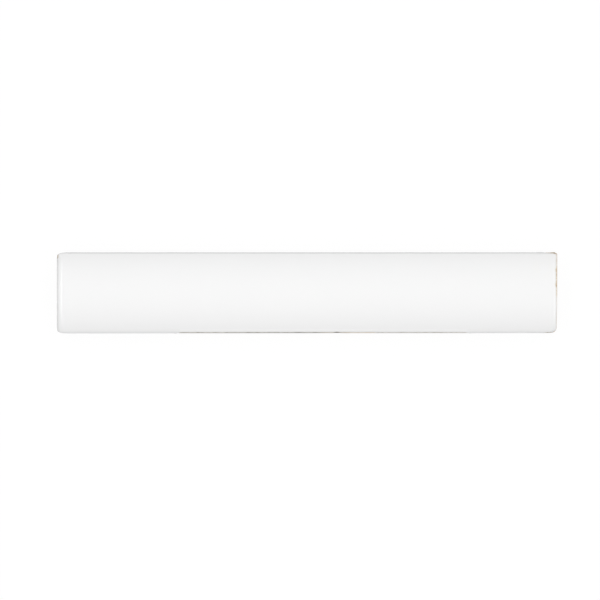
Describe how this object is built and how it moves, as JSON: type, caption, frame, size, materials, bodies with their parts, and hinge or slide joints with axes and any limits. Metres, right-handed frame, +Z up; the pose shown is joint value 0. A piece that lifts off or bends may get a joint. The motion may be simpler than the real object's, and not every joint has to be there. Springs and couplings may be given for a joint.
{
  "type": "quarter round tile",
  "caption": "Glazed ceramic quarter round trim tile: a convex white face over a hollow keyed back, for finishing an outside corner of tiling.",
  "frame": {"origin": "on the surface that the tile lies on, under the middle of the tile", "axes": "+X along the tile, +Y across it, +Z up out of the glazed face"},
  "size_m": [0.1524, 0.0248, 0.0104],
  "materials": {
    "white_glaze": "gloss white glaze over a tan fired body"
  },
  "bodies": {
    "root": {"quarter_round_tile": "white_glaze"}
  },
  "joints": []
}
